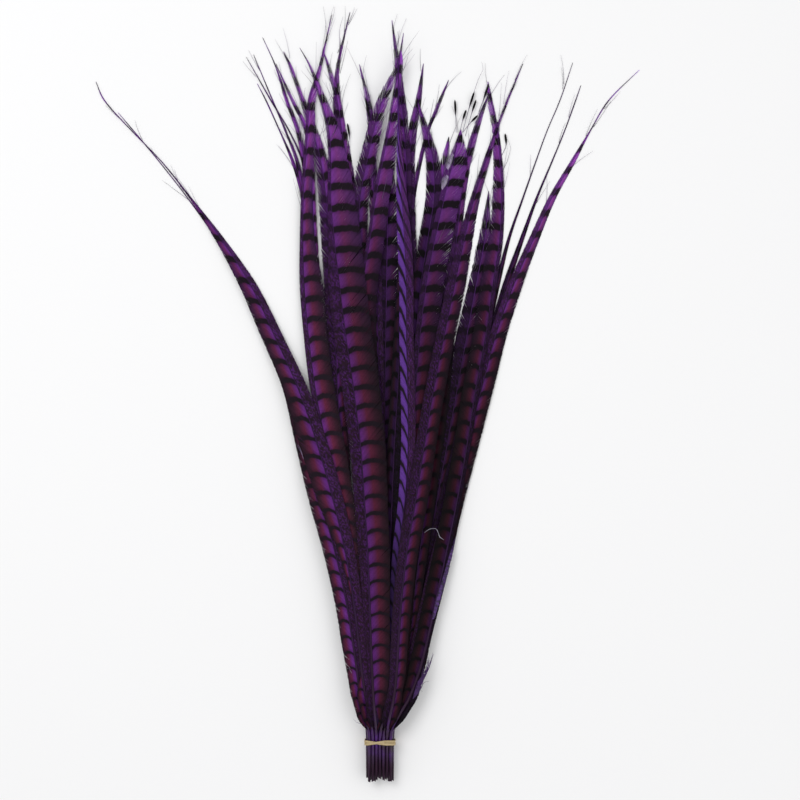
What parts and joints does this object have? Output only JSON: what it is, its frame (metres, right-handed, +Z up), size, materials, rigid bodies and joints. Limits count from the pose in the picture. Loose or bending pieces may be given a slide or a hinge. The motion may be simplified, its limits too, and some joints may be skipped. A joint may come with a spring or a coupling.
{
  "type": "tied bunch of dyed pheasant tail feathers",
  "caption": "Long barred pheasant tail feathers, dyed purple, fanned out flat and held together by a tan rubber band near the quill ends.",
  "frame": {"origin": "on the surface that the bunch lies on, under the middle of its box", "axes": "+Y along the feathers from the quill ends to the tips, +Z up from the surface, +X to the right of the bunch as the picture shows it"},
  "size_m": [0.6014, 0.8484, 0.0257],
  "materials": {
    "dyed_feather": "satin",
    "tan_rubber": "satin"
  },
  "bodies": {
    "root": {"feather_back_flat": "dyed_feather", "feather_centre_ragged": "dyed_feather", "feather_centre_thin": "dyed_feather", "feather_right_ragged": "dyed_feather", "feather_right_whisker": "dyed_feather", "feather_right_jagged": "dyed_feather", "feather_right_slender_inner": "dyed_feather", "feather_right_slender_outer": "dyed_feather", "feather_left_slender_lowest": "dyed_feather", "feather_left_slender_second": "dyed_feather", "feather_left_slender_hair": "dyed_feather", "feather_left_slender_upper": "dyed_feather", "feather_left_slender_inner": "dyed_feather", "feather_right_inner_slim": "dyed_feather", "feather_right_inner_bent": "dyed_feather", "feather_right_slim": "dyed_feather", "feather_centre_second": "dyed_feather", "feather_left_inner": "dyed_feather", "feather_centre_tall": "dyed_feather", "feather_centre_crossing": "dyed_feather", "feather_centre_right_barred": "dyed_feather", "feather_left_column": "dyed_feather", "feather_right_sweeping": "dyed_feather", "feather_right_outer_barred": "dyed_feather", "feather_left_edge": "dyed_feather", "feather_far_left": "dyed_feather", "feather_right_blunt": "dyed_feather", "feather_rolled_strip": "dyed_feather", "feather_right_long_front": "dyed_feather", "feather_centre_front": "dyed_feather", "rubber_band": "tan_rubber"}
  },
  "joints": []
}
